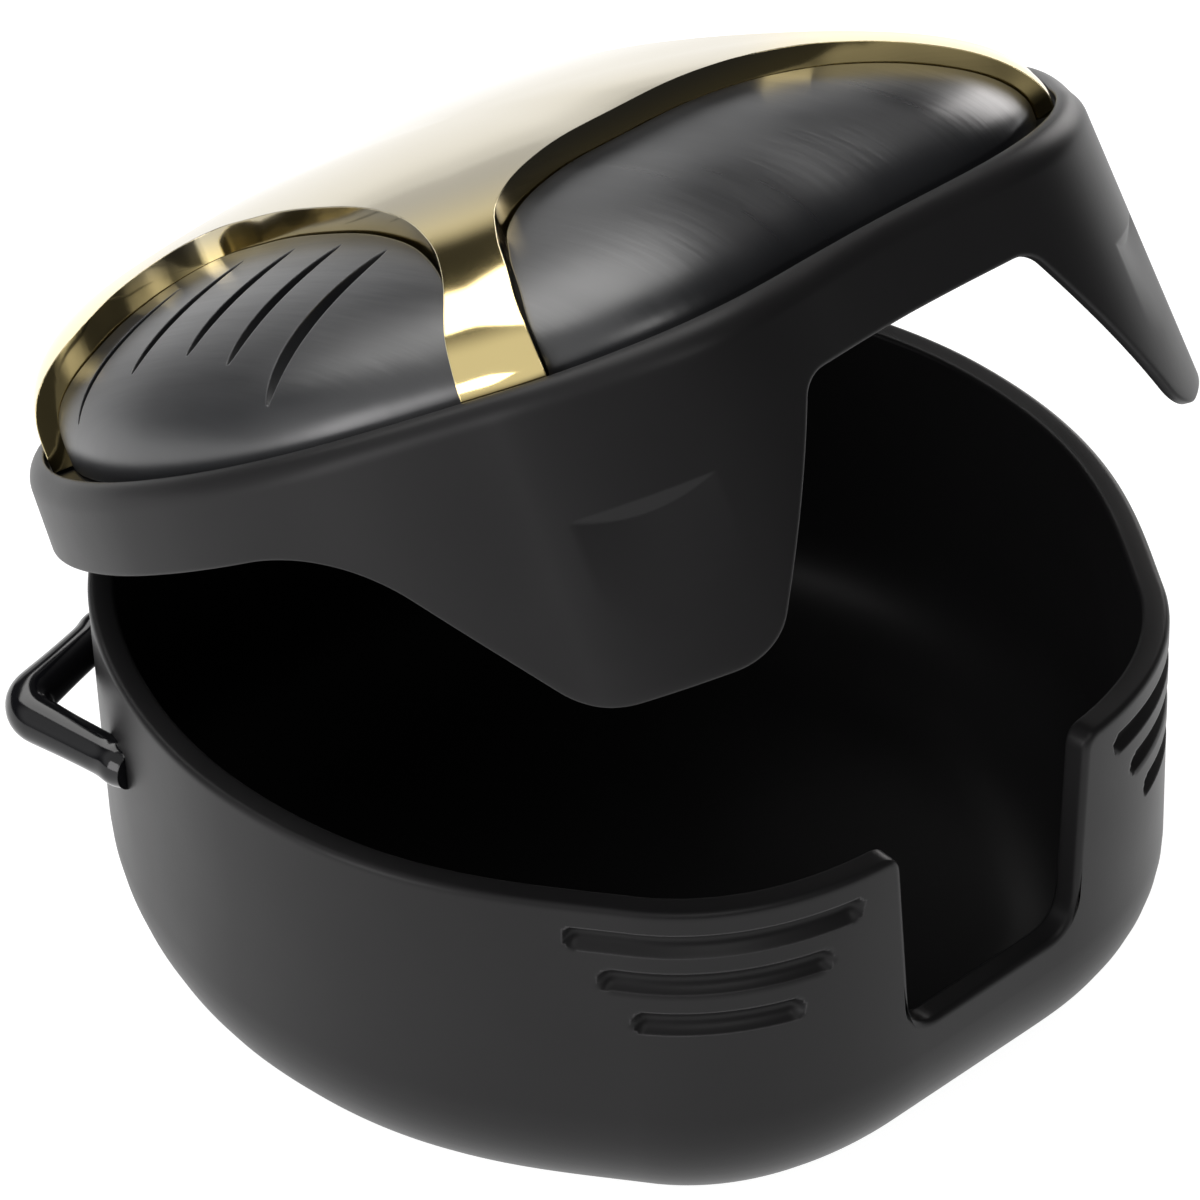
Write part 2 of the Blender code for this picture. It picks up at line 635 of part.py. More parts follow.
def build_lid():
    hinge = bpy.data.objects.new("lid_hinge", None)
    parts.objects.link(hinge)
    hinge.location = (0.0, HINGE_Y, HINGE_Z)
    hinge.rotation_euler = (-REST_OPENING, 0.0, 0.0)

    frame = add_object("lid_frame", to_hinge(loft("lid_frame", lid_frame_rings(), closed=True)), SATIN_BLACK, hinge)
    arm = side_plate("lid_arm", lid_hinge_profile(), -LID_KNUCKLE_HALF, LID_KNUCKLE_HALF)
    knuckle = rod("lid_knuckle", KNUCKLE_RADIUS, -LID_KNUCKLE_HALF, LID_KNUCKLE_HALF, HINGE_Y, HINGE_Z, 24)
    reach = LID_KNUCKLE_HALF + CUTTER_REACH
    bore = rod("lid_bore", PIN_RADIUS + PIN_CLEARANCE, -reach, reach, HINGE_Y, HINGE_Z, 20)
    combine(frame, to_hinge(arm), "UNION", hinge)
    combine(frame, to_hinge(knuckle), "UNION", hinge)
    combine(frame, to_hinge(bore), "DIFFERENCE", hinge)
    for side in (-1, 1):
        combine(frame, crease_cutter(side), "DIFFERENCE", hinge)

    liner_depth = TRIM_THICKNESS + CLEARANCE
    liner_mesh = crown_layer("lid_liner", liner_depth, liner_depth + LINER_THICKNESS)
    liner = add_object("lid_liner", to_hinge(liner_mesh), LINER_BLACK, hinge)
    trim = add_object("trim_plate", to_hinge(crown_layer("trim_plate", 0.0, TRIM_THICKNESS)), GOLD_CHROME, hinge)

    low = TUB_HEIGHT
    high = TUB_HEIGHT + CROWN_BASE_Z + CROWN_RISE + CUTTER_REACH
    openings = {
        "front_dome": mirrored(FRONT_WINDOW_HALF),
        "right_vent_dome": list(SIDE_WINDOW),
        "left_vent_dome": [(-x, y) for x, y in SIDE_WINDOW],
        "rear_dome": mirrored(REAR_WINDOW_HALF),
    }
    for name, points in openings.items():
        opening = prism(name + "_opening", window(points, CLEARANCE / 2), low, high, smooth_corners=True)
        combine(trim, to_hinge(opening), "DIFFERENCE", hinge)
        panel = add_object(name, to_hinge(crown_layer(name, PANEL_SINK, TRIM_THICKNESS)), PANEL_GREY, hinge)
        bounds = prism(name + "_bounds", window(points, -CLEARANCE / 2), low, high, smooth_corners=True)
        combine(panel, to_hinge(bounds), "INTERSECT", hinge)
        if name.endswith("vent_dome"):
            side = -1 if name.startswith("left") else 1
            for row, vent in enumerate(VENTS):
                slot = vent_cutter(f"vent_{name[:-10]}_{row + 1}", side, vent)
                cutter = combine(panel, to_hinge(slot), "DIFFERENCE", hinge)
                step = liner.modifiers.new(slot.name, "BOOLEAN")
                step.operation = "DIFFERENCE"
                step.solver = "EXACT"
                step.object = cutter


def crease_cutter(side):
    """A thin wedge that leaves a sharp ledge across the tab and fades out below it."""
    place = side * CREASE_MIDDLE
    point, outward = outline_at(place, skirt_out(-CREASE_DROP) + CORNER_SWELL * swell(place))
    top = TUB_HEIGHT - CREASE_DROP
    along = np.array([-outward[1], outward[0]])
    flare = CREASE_TALL * SKIRT_FLARE
    section = [
        (-CREASE_DEPTH, top),
        (CUTTER_REACH, top),
        (CUTTER_REACH, top - CREASE_TALL),
        (flare, top - CREASE_TALL),
    ]
    ends = []
    for reach in (-CREASE_HALF_WIDTH, CREASE_HALF_WIDTH):
        base = point + along * reach
        ends.append([(*(base + outward * depth), z) for depth, z in section])
    return to_hinge(loft(f"crease_{'left' if side < 0 else 'right'}", ends, closed=False))


build_tub()
build_lid()
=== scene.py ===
import math

import bmesh
import bpy
import numpy as np
from mathutils import Matrix, Vector


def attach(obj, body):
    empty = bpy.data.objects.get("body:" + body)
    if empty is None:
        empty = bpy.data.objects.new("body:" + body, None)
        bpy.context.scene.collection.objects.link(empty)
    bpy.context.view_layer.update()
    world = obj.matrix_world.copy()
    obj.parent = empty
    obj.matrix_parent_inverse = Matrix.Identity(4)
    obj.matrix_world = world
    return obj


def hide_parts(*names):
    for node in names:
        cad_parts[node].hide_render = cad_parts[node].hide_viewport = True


# Looks of the hinged mouthguard case. Lengths are in millimetres until settle turns a mesh into metres.
# The lid's pieces are worked out shut and then turned open about the hinge.

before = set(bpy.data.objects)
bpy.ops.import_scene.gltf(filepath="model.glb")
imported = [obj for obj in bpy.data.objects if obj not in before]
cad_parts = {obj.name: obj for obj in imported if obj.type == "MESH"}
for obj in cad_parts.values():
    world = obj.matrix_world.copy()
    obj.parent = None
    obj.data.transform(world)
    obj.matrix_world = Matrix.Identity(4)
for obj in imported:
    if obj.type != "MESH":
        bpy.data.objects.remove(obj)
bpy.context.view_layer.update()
mm = 0.001

plan = {
    "halfWidth": 41.0, "frontReach": 38.8, "backReach": 41.0, "widestY": 3.0,
    "frontFlat": 7.8, "backFlat": 13.5, "shoulderX": 28.9, "shoulderY": -29.2, "flankAngle": 55.5,
    "frontPull": 11.2, "shoulderPullFront": 5.8, "shoulderPullBack": 9.4,
    "sidePullFront": 16.4, "sidePullBack": 16.3, "backPull": 16.5,
}


def bezier(p0, p1, p2, p3, count=500):
    # cubic Bezier: (1-t)^3 p0 + 3(1-t)^2 t p1 + 3(1-t) t^2 p2 + t^3 p3
    t = np.linspace(0, 1, count)[:, None]
    p0, p1, p2, p3 = (np.array(p, float) for p in (p0, p1, p2, p3))
    return (1 - t) ** 3 * p0 + 3 * (1 - t) ** 2 * t * p1 + 3 * (1 - t) * t ** 2 * p2 + t ** 3 * p3


def halfPlan(p):
    # right half of the case's plan, from the front middle to the back middle
    flank = np.array([math.cos(math.radians(p["flankAngle"])), math.sin(math.radians(p["flankAngle"]))])
    front = np.array([p["frontFlat"], -p["frontReach"]])
    shoulder = np.array([p["shoulderX"], p["shoulderY"]])
    side = np.array([p["halfWidth"], p["widestY"]])
    back = np.array([p["backFlat"], p["backReach"]])
    beforeShoulder = shoulder - flank * p["shoulderPullFront"]
    afterShoulder = shoulder + flank * p["shoulderPullBack"]
    corner = bezier(front, front + (p["frontPull"], 0), beforeShoulder, shoulder)
    flankRun = bezier(shoulder, afterShoulder, side - (0, p["sidePullFront"]), side)
    rear = bezier(side, side + (0, p["sidePullBack"]), back + (p["backPull"], 0), back)
    frontRun = np.linspace((0, -p["frontReach"]), front, 100)[:-1]
    backRun = np.linspace(back, (0, p["backReach"]), 150)[1:]
    return np.vstack([frontRun, corner, flankRun[1:], rear[1:], backRun])


half = halfPlan(plan)
halfLength = np.concatenate([[0], np.cumsum(np.hypot(*np.diff(half, axis=0).T))])
halfTangent = np.gradient(half, halfLength, axis=0)
total = halfLength[-1]


def planAt(s, grow=0.0):
    # point of the plan at the distance s from the front middle (left is negative), moved out along its normal
    reach = np.abs(s)
    x, y = (np.interp(reach, halfLength, half[:, k]) for k in (0, 1))
    tx, ty = (np.interp(reach, halfLength, halfTangent[:, k]) for k in (0, 1))
    size = np.hypot(tx, ty)
    side = np.where(np.asarray(s) < 0, -1.0, 1.0)
    return (x + ty / size * grow) * side, y - tx / size * grow


def wallRow(s, z, grow=0.0):
    # points (planAt(s, grow), z)
    x, y = planAt(s, grow)
    return np.column_stack([x, y, np.broadcast_to(z, x.shape)])


def roundedPath(corners, steps=20):
    # a run of corners (u, v, radius); each is replaced by an arc that touches both of its sides
    path = [np.array(corners[0][:2], float)]
    for before, here, after in zip(corners, corners[1:], corners[2:]):
        p = np.array(here[:2], float)
        a, b = np.array(before[:2]) - p, np.array(after[:2]) - p
        a, b = a / np.hypot(*a), b / np.hypot(*b)
        halfAngle = math.acos(np.clip(a @ b, -1, 1)) / 2
        centre = p + (a + b) / np.hypot(*(a + b)) * here[2] / math.sin(halfAngle)
        first = p + a * here[2] / math.tan(halfAngle) - centre
        last = p + b * here[2] / math.tan(halfAngle) - centre
        turn = math.atan2(first[0] * last[1] - first[1] * last[0], first @ last)
        swing = np.linspace(0, turn, steps)
        path.extend(centre + np.column_stack([np.cos(swing) * first[0] - np.sin(swing) * first[1],
                                              np.sin(swing) * first[0] + np.cos(swing) * first[1]]))
    path.append(np.array(corners[-1][:2], float))
    return np.array(path)


def spread(path, count, dense=()):
    # points along a path, closer together where s lies in a dense stretch (from, to, how many times closer)
    fine = np.linspace(0, 1, 6000)
    length = np.concatenate([[0], np.cumsum(np.hypot(*np.diff(path, axis=0).T))])
    u, v = (np.interp(fine * length[-1], length, path[:, k]) for k in (0, 1))
    weight = np.ones_like(fine)
    for low, high, times in dense:
        weight += (times - 1) * ((u > low) & (u < high))
    share = np.concatenate([[0], np.cumsum((weight[1:] + weight[:-1]) / 2)])
    pick = np.interp(np.linspace(0, share[-1], count), share, fine)
    u, v = np.interp(pick, fine, u), np.interp(pick, fine, v)
    du, dv = np.gradient(u), np.gradient(v)
    size = np.hypot(du, dv)
    return u, v, du / size, dv / size, pick


def bothSides(right, odd=False):
    # a right half carried on round the left side; odd values change sign there
    left = right[-2:0:-1]
    return np.concatenate([right, -left if odd else left])


def gridFaces(rows, cols, closed=False):
    # quads between neighbouring rings; closed also joins the last ring to the first
    index = np.arange(rows * cols).reshape(rows, cols)
    low, high = (index, np.roll(index, -1, axis=0)) if closed else (index[:-1], index[1:])
    quads = np.stack([low, np.roll(low, -1, axis=1), np.roll(high, -1, axis=1), high], axis=-1)
    return quads.reshape(-1, 4).tolist()


def fan(start, cols, pole, flip):
    # triangles from one ring to its pole
    ring = np.arange(start, start + cols)
    sides = (ring, np.roll(ring, -1)) if flip else (np.roll(ring, -1), ring)
    return np.stack([*sides, np.full(cols, pole)], axis=-1).tolist()


def ringsMesh(name, rings, closed=False, poles=False):
    # rings of equal count, each joined to the next; poles close the first and last ring to a point
    rings = np.array(rings)
    rows, cols = rings.shape[:2]
    points, faces = rings.reshape(-1, 3), gridFaces(rows, cols, closed)
    if poles:
        points = np.vstack([points, rings[0].mean(0), rings[-1].mean(0)])
        faces += fan(0, cols, rows * cols, False) + fan((rows - 1) * cols, cols, rows * cols + 1, True)
    mesh = bpy.data.meshes.new(name)
    mesh.from_pydata(points.tolist(), [], faces)
    return faceOut(mesh)


def faceOut(mesh):
    # the signed volume (sum of a . b x c over the triangles) is negative when the faces point inwards
    mesh.calc_loop_triangles()
    points = np.zeros(len(mesh.vertices) * 3)
    mesh.vertices.foreach_get("co", points)
    corners = np.zeros(len(mesh.loop_triangles) * 3, int)
    mesh.loop_triangles.foreach_get("vertices", corners)
    a, b, c = points.reshape(-1, 3)[corners].reshape(-1, 3, 3).transpose(1, 0, 2)
    if np.einsum("ij,ij->", a, np.cross(b, c)) < 0:
        mesh.flip_normals()
    return mesh


def inwardRings(ring, shares, flat):
    # rings drawn in from a closed ring towards its middle, all at one height
    middle = ring.mean(0)
    rings = [middle + (ring - middle) * share for share in shares]
    for drawn in rings:
        drawn[:, 2] = flat
    return rings


rim = 33.6
lidOpen = math.radians(29.0)
hinge = {
    "y": 46.7, "z": 32.1, "knuckle": 2.5, "bore": 1.25, "boreReach": 3.0, "lidHalf": 6.0, "gap": 0.3,
    "tubLength": 6.0, "sides": 64, "belowBand": 0.3, "tubArmHeight": 6.8, "tubArmLow": (1.125, -2.2),
    "tubArmHigh": -2.0, "lidArmRise": 0.3, "lidArmLow": (-1.5, -1.25), "lidArmTop": 2.45, "lidArmRoot": 3.0,
}


def openLid(points):
    # turns shut lid points about the hinge axis by the rest opening
    y, z = points[:, 1] - hinge["y"], points[:, 2] - hinge["z"]
    turned = points.copy()
    turned[:, 1] = hinge["y"] + y * math.cos(lidOpen) + z * math.sin(lidOpen)
    turned[:, 2] = hinge["z"] - y * math.sin(lidOpen) + z * math.cos(lidOpen)
    return turned


def settle(mesh, onLid=False, sharp=35):
    # millimetres to metres, the lid's pieces turned open, and smooth shading with sharp folds kept
    points = np.zeros(len(mesh.vertices) * 3)
    mesh.vertices.foreach_get("co", points)
    points = points.reshape(-1, 3)
    points = openLid(points) if onLid else points
    mesh.vertices.foreach_set("co", (points * mm).ravel())
    mesh.update()
    mesh.shade_smooth()
    mesh.set_sharp_from_angle(angle=math.radians(sharp))
    return mesh


def addPiece(name, mesh, body, nodes, finish):
    piece = bpy.data.objects.new(name, mesh)
    bpy.context.scene.collection.objects.link(piece)
    mesh.materials.clear()
    mesh.materials.append(finish)
    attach(piece, body)
    if nodes:
        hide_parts(*nodes)
    return piece


def carve(mesh, steps):
    # Boolean steps (operation, mesh) applied one after another with throw-away objects
    base = bpy.data.objects.new("carveBase", mesh)
    bpy.context.scene.collection.objects.link(base)
    tools = []
    for operation, toolMesh in steps:
        tool = bpy.data.objects.new("carveTool", toolMesh)
        bpy.context.scene.collection.objects.link(tool)
        step = base.modifiers.new("carve", "BOOLEAN")
        step.operation, step.solver, step.object = operation, "EXACT", tool
        tools.append(tool)
    bpy.context.view_layer.update()
    result = bpy.data.meshes.new_from_object(base.evaluated_get(bpy.context.evaluated_depsgraph_get()))
    for thing in [base, *tools]:
        bpy.data.objects.remove(thing)
    result.name = mesh.name
    return result


def paintTopReflection(nodes, links, where, look, tone):
    # painted reflection of the overhead light: paler on the lid's flat top, by a smooth step over the shut
    # lid's height between the look's two top heights; a point of the opened lid had the height y sin(opening)
    # + z cos(opening), less what the hinge's place adds to it
    up = nodes.new("ShaderNodeVectorMath")
    up.operation = "DOT_PRODUCT"
    up.inputs[1].default_value = (0, math.sin(lidOpen), math.cos(lidOpen))
    links.new(where.outputs["Object"], up.inputs[0])
    low = hinge["y"] * math.sin(lidOpen) + hinge["z"] * (math.cos(lidOpen) - 1)
    high = nodes.new("ShaderNodeMapRange")
    high.interpolation_type = "SMOOTHSTEP"
    high.inputs["From Min"].default_value = (look["topReflectionFrom"] + low) * mm
    high.inputs["From Max"].default_value = (look["topReflectionTo"] + low) * mm
    links.new(up.outputs["Value"], high.inputs["Value"])
    reflectedTop = nodes.new("ShaderNodeMix")
    reflectedTop.data_type = "RGBA"
    reflectedTop.inputs["B"].default_value = (*look["topReflectionColour"], 1)
    links.new(high.outputs["Result"], reflectedTop.inputs["Factor"])
    links.new(tone, reflectedTop.inputs["A"])
    return reflectedTop.outputs["Result"]


# painted highlight on rounded edges: the span of the bevel's cosine over which edges are painted lighter, and
# the bevel's samples
edgeHighlight = {"from": 0.985, "to": 0.86, "samples": 4}
noiseSpan = (0.3, 0.7)


def makeFinish(name, look):
    # colour drifts with broad noise, roughness with cloudy noise, and fine grain lifts the surface; edges are
    # found where the rounded normal leaves the true one, and get a painted highlight that makes them a little
    # lighter
    finish = bpy.data.materials.new(name)
    finish.use_nodes = True
    nodes, links = finish.node_tree.nodes, finish.node_tree.links
    shader = nodes["Principled BSDF"]
    shader.inputs["Metallic"].default_value = look.get("metallic", 0.0)
    shader.inputs["Specular IOR Level"].default_value = look.get("specular", 0.5)
    where = nodes.new("ShaderNodeTexCoord")
    place = nodes.new("ShaderNodeMapping")
    place.inputs["Rotation"].default_value = look.get("turn", (0, 0, 0))
    place.inputs["Scale"].default_value = look.get("stretch", (1, 1, 1))
    links.new(where.outputs["Object"], place.inputs["Vector"])

    def noise(size, detail, vector):
        # the object's coordinates are metres, so a scale of 1000 / size makes blotches of size mm
        made = nodes.new("ShaderNodeTexNoise")
        made.inputs["Scale"].default_value = 1000 / size
        made.inputs["Detail"].default_value = detail
        links.new(vector, made.inputs["Vector"])
        return made.outputs["Fac"]

    def spanned(value, low, high):
        made = nodes.new("ShaderNodeMapRange")
        made.inputs["From Min"].default_value = noiseSpan[0]
        made.inputs["From Max"].default_value = noiseSpan[1]
        made.inputs["To Min"].default_value = low
        made.inputs["To Max"].default_value = high
        links.new(value, made.inputs["Value"])
        return made.outputs["Result"]

    cloud = noise(look["cloudSize"], 4, place.outputs["Vector"])
    links.new(spanned(cloud, look["roughness"] - look["cloud"], look["roughness"] + look["cloud"]),
              shader.inputs["Roughness"])
    soft = nodes.new("ShaderNodeBevel")
    soft.inputs["Radius"].default_value = look["edge"] * mm
    soft.samples = edgeHighlight["samples"]
    true = nodes.new("ShaderNodeNewGeometry")
    facing = nodes.new("ShaderNodeVectorMath")
    facing.operation = "DOT_PRODUCT"
    links.new(soft.outputs["Normal"], facing.inputs[0])
    links.new(true.outputs["Normal"], facing.inputs[1])
    # painted highlight: edges get a lighter colour here, standing in for the light that rounded edges catch
    edgeHighlightMask = nodes.new("ShaderNodeMapRange")
    edgeHighlightMask.inputs["From Min"].default_value = edgeHighlight["from"]
    edgeHighlightMask.inputs["From Max"].default_value = edgeHighlight["to"]
    links.new(facing.outputs["Value"], edgeHighlightMask.inputs["Value"])
    drift = nodes.new("ShaderNodeMix")
    drift.data_type = "RGBA"
    drift.inputs["A"].default_value = (*look["colour"], 1)
    drift.inputs["B"].default_value = (*[c * look["drift"] for c in look["colour"]], 1)
    links.new(noise(look["cloudSize"] * 0.6, 3, where.outputs["Object"]), drift.inputs["Factor"])
    edgeHighlighted = nodes.new("ShaderNodeMix")
    edgeHighlighted.data_type = "RGBA"
    edgeHighlighted.inputs["B"].default_value = (*look["edgeHighlightColour"], 1)
    links.new(edgeHighlightMask.outputs["Result"], edgeHighlighted.inputs["Factor"])
    links.new(drift.outputs["Result"], edgeHighlighted.inputs["A"])
    tone = edgeHighlighted.outputs["Result"]
    # painted reflection of the overhead light on the lid's flat top, for looks that have a top colour
    if "topReflectionColour" in look:
        tone = paintTopReflection(nodes, links, where, look, tone)
    links.new(tone, shader.inputs["Base Color"])
    grain = noise(look["grainSize"], 2, place.outputs["Vector"])
    lift = nodes.new("ShaderNodeBump")
    lift.inputs["Strength"].default_value = look["grain"]
    lift.inputs["Distance"].default_value = look["grainHeight"] * mm
    links.new(grain, lift.inputs["Height"])
    links.new(soft.outputs["Normal"], lift.inputs["Normal"])
    links.new(lift.outputs["Normal"], shader.inputs["Normal"])
    return finish


# each look's edge colour is a painted highlight along rounded edges
finishLooks = {
    "caseBlack": {
        "colour": (0.0135, 0.0132, 0.0137), "drift": 1.25, "edgeHighlightColour": (0.085, 0.083, 0.085), "edge": 0.25,
        "roughness": 0.38, "cloud": 0.03, "cloudSize": 14, "grainSize": 0.35, "grain": 0.30,
        "grainHeight": 0.010, "specular": 0.17,
    },
    "domeGrey": {
        "colour": (0.012, 0.0125, 0.0142), "drift": 1.5, "edgeHighlightColour": (0.09, 0.09, 0.095), "edge": 0.20,
        "roughness": 0.33, "cloud": 0.07, "cloudSize": 7, "grainSize": 0.8, "grain": 1.0,
        "grainHeight": 0.022, "stretch": (1.0, 0.10, 0.10), "turn": (0, 0, 0.9), "specular": 1.0,
    },
    "loopBlack": {
        "colour": (0.004, 0.004, 0.005), "drift": 1.2, "edgeHighlightColour": (0.02, 0.02, 0.02), "edge": 0.1,
        "roughness": 0.12, "cloud": 0.03, "cloudSize": 6, "grainSize": 0.9, "grain": 0.12,
        "grainHeight": 0.006, "specular": 0.4,
    },
    "trimGold": {
        "colour": (0.88, 0.71, 0.33), "drift": 0.97, "edgeHighlightColour": (0.90, 0.80, 0.50), "edge": 0.14,
        "roughness": 0.09, "cloud": 0.015, "cloudSize": 11, "grainSize": 0.9, "grain": 0.05,
        "grainHeight": 0.004, "metallic": 1.0,
        # the top colour and its heights paint the overhead light's reflection onto the gold's flat top
        "topReflectionColour": (0.48, 0.43, 0.31), "topReflectionFrom": 46.5, "topReflectionTo": 49.2,
    },
    "linerBlack": {
        "colour": (0.004, 0.004, 0.0045), "drift": 1.2, "edgeHighlightColour": (0.01, 0.01, 0.01), "edge": 0.15,
        "roughness": 0.55, "cloud": 0.05, "cloudSize": 8, "grainSize": 0.4, "grain": 0.35,
        "grainHeight": 0.010, "specular": 0.2,
    },
    "pinSteel": {
        "colour": (0.50, 0.50, 0.51), "drift": 0.9, "edgeHighlightColour": (0.62, 0.62, 0.62), "edge": 0.1,
        "roughness": 0.30, "cloud": 0.06, "cloudSize": 3, "grainSize": 0.25, "grain": 0.2,
        "grainHeight": 0.004, "stretch": (0.1, 1, 1), "metallic": 1.0,
    },
}
finishes = {name: makeFinish(name, look) for name, look in finishLooks.items()}
print("finishes made")

tub = {
    "wall": 2.2, "foot": 12.7, "rimOut": 0.55, "rimIn": 0.35, "columns": 300,
    "notchTop": 10.0, "notchLow": 8.9, "notchDepth": 18.0, "notchRim": 1.5, "notchCorner": 3.0,
    "denseStretches": [(0.1, 11.5, 1.5), (13, 38, 2.2)], "turnPast": 1.6,
    "footPush": 6.0, "footPushLength": 9.0, "pathTrim": 5.0, "middleShares": (0.1, 0.35, 0.7, 0.93),
    "footRows": 14, "lowRows": 14, "highRows": 50, "highFrom": 0.42, "rimOutRows": 7, "rimInRows": 6,
    "insideRows": 22,
    "grooveMiddle": 25.3, "grooveHalf": (11.7, 9.1, 6.6), "grooveDrop": 3.0, "groovePitch": 3.8,
    "grooveDepth": 1.0, "grooveHalfTall": 1.0, "grooveRound": 0.7,
}


def grooves(s, z):
    # each groove is sunk by depth x (1 - (q / half height)^2)^round, q being the distance to its middle line
    sunk = np.zeros_like(s)
    for row, length in enumerate(tub["grooveHalf"]):
        level = rim - tub["grooveDrop"] - row * tub["groovePitch"]
        reach = length - tub["grooveHalfTall"]
        along = np.clip(np.abs(np.abs(s) - tub["grooveMiddle"]) - reach, 0, None)
        q = np.hypot(along, z - level) / tub["grooveHalfTall"]
        sunk = np.maximum(sunk, tub["grooveDepth"] * np.clip(1 - q ** 2, 0, 1) ** tub["grooveRound"])
    return sunk


def tubColumns():
    # the rim's path with its direction into the wall, and where each of its columns stands on the foot: under
    # the wall at s + push x exp(-(s - turn) / push length), and under the notch shared out evenly
    low = rim - tub["notchDepth"]
    path = roundedPath([(0, low), (tub["notchLow"], low, tub["notchCorner"]),
                        (tub["notchTop"], rim, tub["notchRim"]), (total, rim)])
    s, z, du, dv, share = spread(path, tub["columns"], tub["denseStretches"])
    turnIn = tub["notchTop"] + tub["turnPast"]
    inNotch = s < turnIn
    foot = np.where(inNotch, 0, s + tub["footPush"] * np.exp(-(s - turnIn) / tub["footPushLength"]))
    walked = share * (total + 2 * tub["notchDepth"] - tub["pathTrim"])
    foot[inNotch] = walked[inNotch] / walked[inNotch][-1] * foot[~inNotch][0]
    return bothSides(s, True), bothSides(z), bothSides(dv, True), bothSides(-du), bothSides(foot, True)


def tubMesh():
    # rings up from the middle of the foot, over the rim and down the inside to the floor's middle; the foot's
    # rounding is out = -foot (1 - sin a), up = foot (1 - cos a), and the rim's two roundings follow suit
    s, z, intoS, intoZ, base = tubColumns()

    def edgeRow(depth, inset):
        return wallRow(np.where(np.abs(s) < 1e-9, 0, s) + intoS * depth, z + intoZ * depth, -inset)

    def bodyRow(share, depth, inset, sink=False):
        # from the foot's even spacing to the rim path, moved into the wall by depth
        topS, topZ = s + intoS * depth, z + intoZ * depth
        hereS = base + (topS - base) * share
        hereZ = tub["foot"] + (topZ - tub["foot"]) * share
        return wallRow(hereS, hereZ, -inset - (grooves(hereS, hereZ) if sink else 0))

    def footRow(a, foot, low, inset):
        return wallRow(base, low + foot * (1 - math.cos(a)), -inset - foot * (1 - math.sin(a)))

    quarter = math.pi / 2
    footRings = [footRow(a, tub["foot"], 0, 0) for a in np.linspace(0, quarter, tub["footRows"])]
    rings = inwardRings(footRings[0], tub["middleShares"], 0.0) + footRings
    lowRows = np.linspace(0, tub["highFrom"], tub["lowRows"])[1:]
    highRows = np.linspace(tub["highFrom"], 1, tub["highRows"])[1:]
    rimOut, rimIn, wall = tub["rimOut"], tub["rimIn"], tub["wall"]
    rings += [bodyRow(v, rimOut, 0, True) for v in np.concatenate([lowRows, highRows])]
    for a in np.linspace(0, quarter, tub["rimOutRows"])[1:]:
        rings.append(edgeRow(rimOut * (1 - math.sin(a)), rimOut * (1 - math.cos(a))))
    for a in np.linspace(0, quarter, tub["rimInRows"]):
        rings.append(edgeRow(rimIn * (1 - math.cos(a)), wall - rimIn * (1 - math.sin(a))))
    rings += [bodyRow(v, rimIn, wall) for v in np.linspace(1, 0, tub["insideRows"])[1:]]
    for a in np.linspace(quarter, 0, tub["footRows"])[1:]:
        rings.append(footRow(a, tub["foot"] - wall, wall, wall))
    rings += inwardRings(rings[-1], tub["middleShares"][::-1], wall)
    return ringsMesh("tubShell", rings, poles=True)


addPiece("tubShell", settle(tubMesh()), "base", ["base_tub"], finishes["caseBlack"])
print("tub made")

loop = {
    "radius": 1.7, "spread": 17.4, "bar": 2.4, "reach": 5.5, "bend": 2.9, "drop": 8.7, "root": 0.6,
    "direction": 147.0, "rearStretch": (0.3, 0.95), "tip": 0.14, "tipShare": 0.2, "flare": 0.12,
    "flareLength": 1.0, "points": 130, "sides": 40,
}


def loopMesh():
    # a bar on two legs, off the left rear corner: its feet stand in the wall, spread apart along it
    facing = math.radians(loop["direction"])
    out = np.array([math.cos(facing), math.sin(facing)])
    along = np.array([-out[1], out[0]])
    wall = np.column_stack(planAt(-np.linspace(*loop["rearStretch"], 4000) * total))
    corner = wall[np.argmax(wall @ out)]
    middle = corner + out * loop["reach"]
    feet, bends = [], []
    for side in (-1, 1):
        bend = middle + along * side * loop["bar"] / 2
        target = corner + along * side * loop["spread"] / 2
        foot = wall[np.argmin(np.abs((wall - target) @ along))]
        inwards = (foot - bend) / np.hypot(*(foot - bend))
        feet.append((foot + inwards * tub["wall"] * loop["root"], foot))
        bends.append(bend)
    path = roundedPath([feet[0][0], (*bends[0], loop["bend"]), (*bends[1], loop["bend"]), feet[1][0]])
    x, y, dx, dy, share = spread(path, loop["points"])
    # a circle carried along the path; it widens by flare x exp(-(distance from the wall / flareLength)^2) and
    # by tip x exp(-((share of the path - 1/2) / tipShare)^2)
    gone = np.min([np.hypot(x - f[1][0], y - f[1][1]) for f in feet], axis=0)
    radius = loop["radius"] * (1 + loop["flare"] * np.exp(-(gone / loop["flareLength"]) ** 2)
                               + loop["tip"] * np.exp(-((share - 0.5) / loop["tipShare"]) ** 2))
    x, y, dx, dy, radius = (v[:, None] for v in (x, y, dx, dy, radius))
    turn = np.linspace(0, 2 * math.pi, loop["sides"], endpoint=False)
    across = radius * np.cos(turn)
    height = rim - loop["drop"] + radius * np.sin(turn)
    rings = np.stack([x + dy * across, y - dx * across, height], axis=-1)
    return ringsMesh("loopBar", rings, poles=True)


loopShape = settle(loopMesh(), sharp=60)
addPiece("loopBar", loopShape, "base", ["lanyard_loop"], finishes["loopBlack"])
print("loop made")

